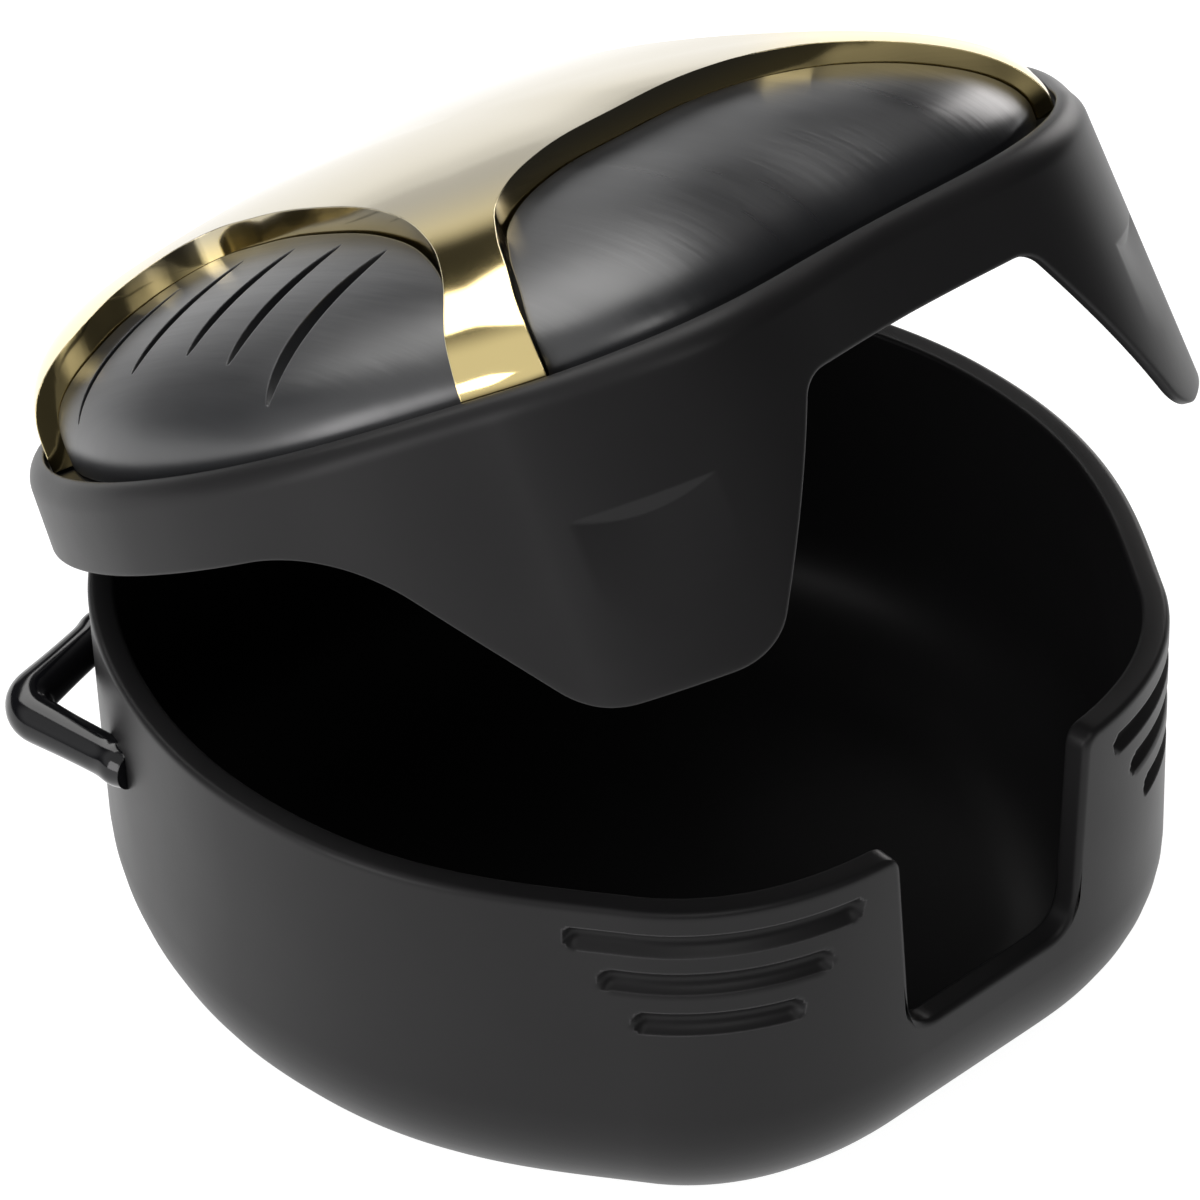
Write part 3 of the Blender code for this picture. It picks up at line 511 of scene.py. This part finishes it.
band = {
    "skirtWall": 0.95, "bottom": -2.8, "flare": 0.05, "shoulderOut": 1.15, "shoulderZ": 2.1, "lipInset": 0.6,
    "lipTop": 4.1, "lipEdge": 0.16, "edge": 0.22, "seat": 2.7, "ledge": 1.4, "ledgeIn": 5.2, "under": 0.4,
    "rimGap": 0.3, "columns": 310, "denseStretch": (0.1, 40, 1.8),
    "rowStops": (0, 0.57, 0.645, 1), "rowCounts": (16, 20, 12), "shoulderRows": 12, "edgeRows": 5,
    "insideRows": 18,
    "swell": 1.7, "crownSwell": 1.0, "swellMiddle": 15.9, "swellSpread": 9.1,
    # the tabs' corners: distance along the plan and corner radius
    "tabDrop": 17.2, "tabInnerTop": (11.1, 2.5), "tabInnerLow": (20.1, 4.8), "tabOuterLow": (32.7, 7.2),
    "tabOuterTop": (47.7, 16.2),
    "creaseDrop": 6.0, "creaseDepth": 0.62, "creaseTall": 7.0, "creaseLedge": 1.2, "creaseMiddle": 24.6,
    "creaseHalf": 5.0, "creaseLeast": 0.02,
}


def swell(s, amount):
    # the front corners stand out by amount x exp(-((|s| - middle) / spread)^2)
    return amount * np.exp(-((np.abs(s) - band["swellMiddle"]) / band["swellSpread"]) ** 2)


def crease(s, z):
    # a sloping ledge: depth x fade at its low edge, nothing at its line, its foot and both ends, where
    # fade = 1 - ((|s| - middle) / half)^2
    under = rim - band["creaseDrop"] - z
    away = (np.abs(s) - band["creaseMiddle"]) / band["creaseHalf"]
    fade = np.clip(1 - away ** 2, band["creaseLeast"], 1)
    ledge = band["creaseLedge"] * fade
    down = np.clip(under / ledge, 0, 1) * np.clip(1 - (under - ledge) / band["creaseTall"], 0, 1)
    return band["creaseDepth"] * (fade - band["creaseLeast"]) * down


def skirtOut(z):
    # the skirt leans out by flare for each millimetre below the shoulder
    return band["shoulderOut"] + (rim + band["shoulderZ"] - z) * band["flare"]


def skirtColumns():
    # the skirt's lower edge with its two tabs, and its direction up into the skirt
    low, top = rim + band["bottom"] - band["tabDrop"], rim + band["bottom"]
    places = [(band["tabInnerTop"], top), (band["tabInnerLow"], low), (band["tabOuterLow"], low),
              (band["tabOuterTop"], top)]
    corners = [(along, height, radius) for (along, radius), height in places]
    path = roundedPath([(0, top), *corners, (total, top)])
    s, z, du, dv, _ = spread(path, band["columns"], [band["denseStretch"]])
    return bothSides(s, True), bothSides(z), bothSides(-dv, True), bothSides(du)


def bandMesh():
    # rings up the skirt, round the shoulder (out = (shoulder + inset) cos a - inset, up = rise sin a), over
    # the lip, in along the crown's seat, back under its ledge and down the skirt's inside to the lower edge
    s, z, intoS, intoZ = skirtColumns()
    quarter = math.pi / 2
    shoulder = rim + band["shoulderZ"]

    def edgeRow(depth, inset):
        hereS, hereZ = s + intoS * depth, z + intoZ * depth
        return wallRow(hereS, hereZ, skirtOut(hereZ) + swell(hereS, band["swell"]) - inset)

    def skirtRow(share, depth, inset, high, sink=False):
        lowS, lowZ = s + intoS * depth, z + intoZ * depth
        hereS, hereZ = lowS + (s - lowS) * share, lowZ + (high - lowZ) * share
        cut = crease(hereS, hereZ) if sink else 0
        return wallRow(hereS, hereZ, skirtOut(hereZ) + swell(hereS, band["swell"]) - inset - cut)

    # more rows where the crease is
    stops, counts = band["rowStops"], band["rowCounts"]
    rows = np.concatenate([np.linspace(*run) for run in zip(stops, stops[1:], counts)])
    rings = [skirtRow(v, band["edge"], 0, shoulder, True) for v in np.unique(rows)]
    outer, inner = swell(s, band["swell"]), swell(s, band["crownSwell"])
    lip, inset = rim + band["lipTop"], band["lipInset"]
    for a in np.linspace(0, quarter, band["shoulderRows"])[1:-1]:
        reach = (band["shoulderOut"] + inset) * math.cos(a) - inset
        rise = (band["lipTop"] - band["shoulderZ"]) * math.sin(a)
        rings.append(wallRow(s, shoulder + rise, reach + outer + (inner - outer) * a / quarter))
    for a in np.linspace(0, quarter, band["edgeRows"]):
        turned = band["lipEdge"] * (1 - math.sin(a))
        rings.append(wallRow(s, lip - band["lipEdge"] * (1 - math.cos(a)), inner - inset + turned))
    seat = rim + band["seat"]
    rings.append(wallRow(s, (seat + lip) / 2, inner - inset))
    rings.append(wallRow(s, seat, inner - inset))
    rings.append(wallRow(s, seat, inner - band["ledgeIn"]))
    rings.append(wallRow(s, seat - band["ledge"], inner - band["ledgeIn"]))
    under = rim + band["under"]
    rings.append(wallRow(s, under, -tub["wall"] - band["rimGap"]))
    wall, edge = band["skirtWall"], band["edge"]
    rings += [skirtRow(v, edge, wall, under) for v in np.linspace(1, 0, band["insideRows"])]
    for a in np.linspace(0, quarter, band["edgeRows"])[1:]:
        rings.append(edgeRow(edge * (1 - math.sin(a)), wall - edge * (1 - math.cos(a))))
    for a in np.linspace(0, quarter, band["edgeRows"])[:-1]:
        rings.append(edgeRow(edge * (1 - math.cos(a)), edge * (1 - math.sin(a))))
    return ringsMesh("lidBand", rings, closed=True)


addPiece("lidBand", settle(bandMesh(), True), "lid", ["lid_frame"], finishes["caseBlack"])
print("lid band made")

crown = {
    "seat": 3.0, "base": 4.0, "rise": 13.0, "power": 2.26, "root": 1.77, "rearPower": 1.5, "rearRoot": 4.3,
    "middleY": 6.0, "topSink": 1.3, "rearSink": 0.9, "inset": 0.9, "panelSink": 1.6, "panelThick": 1.2,
    "linerThick": 1.2, "gap": 0.3, "columns": 150, "rows": 46, "lastRow": 0.97, "rowPower": 1.5,
    "cutterHalf": 15.0, "cutterMiddle": 12.0,
}
# outlines of the openings in the trim plate, as points that a smooth curve passes through; the front and rear
# ones are right halves
windows = {
    "frontDome": [(0, -14.6), (8.0, -15.4), (15.0, -18.3), (18.5, -21.8), (21.4, -25.7), (24.2, -29.5),
                  (26.4, -34.2), (25.0, -42.0)],
    "sideDome": [(31.8, -27.0), (27.6, -24.0), (23.6, -20.3), (19.9, -14.0), (17.8, -7.0), (16.7, 3.0),
                 (16.6, 12.0), (18.1, 19.4), (23.6, 22.2), (29.0, 22.2), (33.0, 23.6), (40.0, 29.0),
                 (48.0, 20.0), (50.0, 0), (44.0, -20.0)],
    "rearDome": [(0, 23.6), (9.0, 24.0), (16.5, 25.6), (21.2, 29.0), (25.0, 33.0), (29.0, 37.0), (28.0, 45.0),
                 (0, 48.0)],
}
# each vent: y at its middle, inner x, outer x, half width
vents = {"places": [(-9.4, 19.6, 35.0, 0.85), (-2.6, 18.8, 32.8, 0.75), (3.8, 18.8, 32.0, 0.70),
                    (10.4, 19.4, 33.2, 0.65), (16.6, 21.8, 35.6, 0.55)], "bow": 0.7, "tilt": 1.6}


def crownRings(depth):
    # along each spoke, with angle a from the edge to the top: share of the way out = cos(a)^(2/power),
    # height = (rise - depth x sink) x sin(a)^(2/root); power, root and sink change from front to rear
    s = bothSides(np.linspace(0, total, crown["columns"]), True)
    x, y = planAt(s, swell(s, band["crownSwell"]) - crown["inset"] - depth)
    spokeX, spokeY = x, y - crown["middleY"]
    rearward = ((1 + spokeY / np.hypot(spokeX, spokeY)) / 2) ** 2
    power = crown["power"] + (crown["rearPower"] - crown["power"]) * rearward
    root = crown["root"] + (crown["rearRoot"] - crown["root"]) * rearward
    a = (math.pi / 2 * np.linspace(0, crown["lastRow"], crown["rows"]) ** crown["rowPower"])[:, None]
    share = np.cos(a) ** (2 / power)
    sunk = depth * (crown["topSink"] + crown["rearSink"] * rearward * share ** 2)
    height = (crown["rise"] - sunk) * np.sin(a) ** (2 / root)
    rowY = crown["middleY"] + share * spokeY
    rings = np.stack([share * spokeX, rowY, rim + crown["base"] + height], axis=-1)
    foot = np.column_stack([x, y, np.full(len(x), rim + crown["seat"])])
    top = np.array([0, crown["middleY"], rim + crown["base"] + crown["rise"] - depth * crown["topSink"]])
    return np.concatenate([foot[None], rings]), top


def crownLayer(name, outerDepth, innerDepth):
    # outer skin up to its top, and the inner skin back down, joined at the seat
    (outer, outerTop), (inner, innerTop) = crownRings(outerDepth), crownRings(innerDepth)
    rings = np.concatenate([inner[::-1], outer])
    rows, cols = rings.shape[:2]
    points = np.vstack([rings.reshape(-1, 3), innerTop, outerTop])
    faces = gridFaces(rows, cols) + fan(0, cols, rows * cols, False)
    faces += fan((rows - 1) * cols, cols, rows * cols + 1, True)
    mesh = bpy.data.meshes.new(name)
    mesh.from_pydata(points.tolist(), [], faces)
    return faceOut(mesh)


def outlinePrism(points, grow, smooth=True):
    # a flat closed outline, moved outwards by grow, pulled up through the whole crown
    path = np.array(points, float)
    along = np.roll(path, -1, axis=0) - np.roll(path, 1, axis=0)
    along /= np.hypot(*along.T)[:, None]
    area = np.sum(path[:, 0] * np.roll(path[:, 1], -1) - np.roll(path[:, 0], -1) * path[:, 1])
    path += np.column_stack([along[:, 1], -along[:, 0]]) * np.sign(area) * grow
    curve = bpy.data.curves.new("outline", "CURVE")
    curve.dimensions, curve.fill_mode, curve.resolution_u = "2D", "BOTH", 14
    curve.extrude = crown["cutterHalf"]
    spline = curve.splines.new("BEZIER")
    spline.bezier_points.add(len(path) - 1)
    spline.bezier_points.foreach_set("co", np.column_stack([path, np.zeros(len(path))]).ravel())
    for knot in spline.bezier_points:
        knot.handle_left_type = knot.handle_right_type = "AUTO" if smooth else "VECTOR"
    spline.use_cyclic_u = True
    thing = bpy.data.objects.new("outline", curve)
    bpy.context.scene.collection.objects.link(thing)
    bpy.context.view_layer.update()
    mesh = bpy.data.meshes.new_from_object(thing.evaluated_get(bpy.context.evaluated_depsgraph_get()))
    bpy.data.objects.remove(thing)
    mesh.transform(Matrix.Translation((0, 0, rim + crown["cutterMiddle"])))
    welded = bpy.data.meshes.new("outline")
    merge(mesh, welded)
    return faceOut(welded)


def merge(source, target):
    # doubles along the caps' edges become one
    work = bmesh.new()
    work.from_mesh(source)
    bmesh.ops.remove_doubles(work, verts=work.verts, dist=1e-4)
    bmesh.ops.recalc_face_normals(work, faces=work.faces)
    work.to_mesh(target)
    work.free()


def mirrored(points):
    # a right half with its left half, in order round the outline
    return points + [(-x, y) for x, y in reversed(points) if x > 0]


def ventTools(side):
    # a bowed and tilted slot whose width is half width x sqrt(4 t (1 - t))
    tools = []
    t = np.linspace(0, 1, 33)
    for y, xIn, xOut, width in vents["places"]:
        across = side * (xIn + (xOut - xIn) * t)
        line = y + vents["bow"] * (1 - (2 * t - 1) ** 2) + vents["tilt"] * (0.5 - t)
        wide = width * np.sqrt(np.clip(4 * t * (1 - t), 0.02, 1))
        points = list(zip(across, line - wide)) + list(zip(across, line + wide))[::-1]
        tools.append(("DIFFERENCE", outlinePrism(points, 0, False)))
    return tools


def outlines():
    side = windows["sideDome"]
    return {"frontDome": mirrored(windows["frontDome"]), "rearDome": mirrored(windows["rearDome"]),
            "rightVentDome": side, "leftVentDome": [(-x, y) for x, y in side]}


cadNames = {"frontDome": "front_dome", "rearDome": "rear_dome", "rightVentDome": "right_vent_dome",
            "leftVentDome": "left_vent_dome"}
thick = crown["panelSink"] + crown["panelThick"]
cuts = [("DIFFERENCE", outlinePrism(points, crown["gap"] / 2)) for points in outlines().values()]
trimMesh = carve(crownLayer("trimPlate", 0, thick), cuts)
addPiece("trimPlate", settle(trimMesh, True), "lid", ["trim_plate"], finishes["trimGold"])
print("trim plate made")
for name, points in outlines().items():
    steps = [("INTERSECT", outlinePrism(points, -crown["gap"] / 2))]
    if name.endswith("VentDome"):
        steps += ventTools(-1 if name.startswith("left") else 1)
    domeMesh = carve(crownLayer(name, crown["panelSink"], thick), steps)
    addPiece(name, settle(domeMesh, True), "lid", [cadNames[name]], finishes["domeGrey"])
    print(name, "made")
linerTop = thick + crown["gap"]
linerLayer = crownLayer("linerShell", linerTop, linerTop + crown["linerThick"])
linerMesh = carve(linerLayer, ventTools(-1) + ventTools(1))
addPiece("linerShell", settle(linerMesh, True), "lid", ["lid_liner"], finishes["linerBlack"])
print("liner made")


def sidePlate(name, profile, low, high):
    # a profile of (y, z) points carried along X
    rings = [[(x, y, z) for y, z in profile] for x in (low, high)]
    return ringsMesh(name, rings, poles=True)


def rodMesh(radius, low, high):
    # a cylinder about the hinge axis
    turn = np.linspace(0, 2 * math.pi, hinge["sides"], endpoint=False)
    ring = np.column_stack([hinge["y"] + radius * np.cos(turn), hinge["z"] + radius * np.sin(turn)])
    return sidePlate("rod", ring, low, high)


def hingePiece(name, profile, spans):
    # each span along X: the arm joined to its knuckle, and bored for the pin
    meshes, reach = [], hinge["boreReach"]
    for low, high in spans:
        meshes.append(carve(sidePlate(name, profile, low, high),
                            [("UNION", rodMesh(hinge["knuckle"], low, high)),
                             ("DIFFERENCE", rodMesh(hinge["bore"], low - reach, high + reach))]))
    return meshes


def hingeAt(along, up):
    return hinge["y"] + along, hinge["z"] + up


back = plan["backReach"]
wallMiddle, under = back - tub["wall"] / 2, rim + band["bottom"] - hinge["belowBand"]
tubArm = [(wallMiddle, under - hinge["tubArmHeight"]), hingeAt(*hinge["tubArmLow"]),
          (hinge["y"] + hinge["tubArmHigh"], under), (wallMiddle, under)]
inner = hinge["lidHalf"] + hinge["gap"]
outer = inner + hinge["tubLength"]
for side, mesh in zip(("left", "right"), hingePiece("arm", tubArm, [(-outer, -inner), (inner, outer)])):
    addPiece(side + "HingeArm", settle(mesh), "base", [], finishes["caseBlack"])
skirt = back + band["shoulderOut"] - band["skirtWall"] / 2
lidArm = [(skirt, rim + band["bottom"] + hinge["lidArmRise"]), hingeAt(*hinge["lidArmLow"]),
          hingeAt(0, hinge["lidArmTop"]), (skirt, hinge["z"] + hinge["lidArmRoot"])]
lidArmMesh = hingePiece("arm", lidArm, [(-hinge["lidHalf"], hinge["lidHalf"])])[0]
addPiece("lidHingeArm", settle(lidArmMesh, True), "lid", [], finishes["caseBlack"])
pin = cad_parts["hinge_pin"]
pin.data.materials.clear()
pin.data.materials.append(finishes["pinSteel"])
print("hinge made")

studio = {
    "floorSize": 6.0, "floorGlow": 0.97, "floorColour": 0.30,
    "lights": [  # place, what it looks at, width, height, watts, colour
        ("above", (0.10, 0.54, 0.72), (0, 0, 0.05), 0.66, 0.60, 4.4, (1.0, 0.99, 0.98)),
        ("front", (-0.30, -0.60, 0.95), (0, 0, 0.03), 0.45, 0.45, 1.6, (1.0, 0.99, 0.98)),
        ("leftSide", (-0.80, 0.10, 0.26), (0, 0, 0.04), 0.30, 0.5, 2.0, (1.0, 0.98, 0.99)),
        ("rightBack", (0.75, 0.35, 0.20), (0.02, 0, 0.04), 0.3, 0.5, 1.8, (1.0, 0.97, 0.96)),
    ],
    "roomLow": 0.03,
    # direction, cosine where it starts, cosine where it is full, radiance
    "glows": [((-0.73, 0.12, 0.66), 0.62, 0.90, 0.70), ((0.47, 0.88, 0.0), 0.94, 0.98, 0.75)],
}


def makeFloor():
    side = studio["floorSize"] / 2
    mesh = bpy.data.meshes.new("floor")
    corners = [(-side, -side, 0), (side, -side, 0), (side, side, 0), (-side, side, 0)]
    mesh.from_pydata(corners, [], [(0, 1, 2, 3)])
    floor = bpy.data.objects.new("floor", mesh)
    bpy.context.scene.collection.objects.link(floor)
    paper = bpy.data.materials.new("whitePaper")
    paper.use_nodes = True
    shader = paper.node_tree.nodes["Principled BSDF"]
    tone = studio["floorColour"]
    shader.inputs["Base Color"].default_value = (tone, tone, tone, 1)
    shader.inputs["Roughness"].default_value = 0.9
    shader.inputs["Specular IOR Level"].default_value = 0.1
    shader.inputs["Emission Color"].default_value = (1, 1, 1, 1)
    shader.inputs["Emission Strength"].default_value = studio["floorGlow"]
    mesh.materials.append(paper)


def makeLights():
    for name, place, target, width, height, watts, colour in studio["lights"]:
        data = bpy.data.lights.new(name, "AREA")
        data.shape, data.size, data.size_y = "RECTANGLE", width, height
        data.energy, data.color = watts, colour
        light = bpy.data.objects.new(name, data)
        bpy.context.scene.collection.objects.link(light)
        light.location = place
        light.rotation_mode = "QUATERNION"
        light.rotation_quaternion = (Vector(target) - Vector(place)).to_track_quat("-Z", "Y")
    world = bpy.data.worlds.new("studioRoom")
    world.use_nodes = True
    nodes, links = world.node_tree.nodes, world.node_tree.links
    direction = nodes.new("ShaderNodeTexCoord").outputs["Generated"]
    level = None
    for way, start, full, radiance in studio["glows"]:
        # each glow rises smoothly with the cosine between the ray and its direction
        towards = nodes.new("ShaderNodeVectorMath")
        towards.operation = "DOT_PRODUCT"
        towards.inputs[1].default_value = Vector(way).normalized()
        links.new(direction, towards.inputs[0])
        glow = nodes.new("ShaderNodeMapRange")
        glow.interpolation_type = "SMOOTHSTEP"
        for key, value in (("From Min", start), ("From Max", full), ("To Min", 0), ("To Max", radiance)):
            glow.inputs[key].default_value = value
        links.new(towards.outputs["Value"], glow.inputs["Value"])
        added = nodes.new("ShaderNodeMath")
        added.inputs[1].default_value = studio["roomLow"]
        links.new(glow.outputs["Result"], added.inputs[0])
        if level:
            links.new(level, added.inputs[1])
        level = added.outputs[0]
    nodes["Background"].inputs["Color"].default_value = (1, 1, 1, 1)
    links.new(level, nodes["Background"].inputs["Strength"])
    bpy.context.scene.world = world


# the camera looks at the middle of the rim, moved by aside and above along the picture's own sides
camera = {"azimuth": -42.19, "elevation": 36.32, "roll": -1.84, "distance": 462.2, "lens": 175.4,
          "aside": -1.249, "above": 0.767, "shiftX": -0.0488, "shiftY": -0.0069}


def makeCamera():
    a, e, r = (math.radians(camera[k]) for k in ("azimuth", "elevation", "roll"))
    level = Vector((math.cos(a), math.sin(a), 0))
    ahead = Vector((-math.sin(a) * math.cos(e), math.cos(a) * math.cos(e), -math.sin(e)))
    upright = level.cross(ahead)
    right = level * math.cos(r) + upright * math.sin(r)
    up = upright * math.cos(r) - level * math.sin(r)
    place = Vector((0, 0, rim)) - right * camera["aside"] - up * camera["above"] - ahead * camera["distance"]
    data = bpy.data.cameras.new("mainCamera")
    data.sensor_width, data.lens = 36, camera["lens"]
    data.shift_x, data.shift_y = camera["shiftX"], camera["shiftY"]
    data.clip_start, data.clip_end = 0.01, 20
    eye = bpy.data.objects.new("mainCamera", data)
    bpy.context.scene.collection.objects.link(eye)
    turned = Matrix((right, up, -ahead)).transposed().to_4x4()
    eye.matrix_world = Matrix.Translation(place * mm) @ turned
    bpy.context.scene.camera = eye


makeFloor()
makeLights()
makeCamera()
bpy.context.scene.view_settings.view_transform = "Standard"
print("studio made")
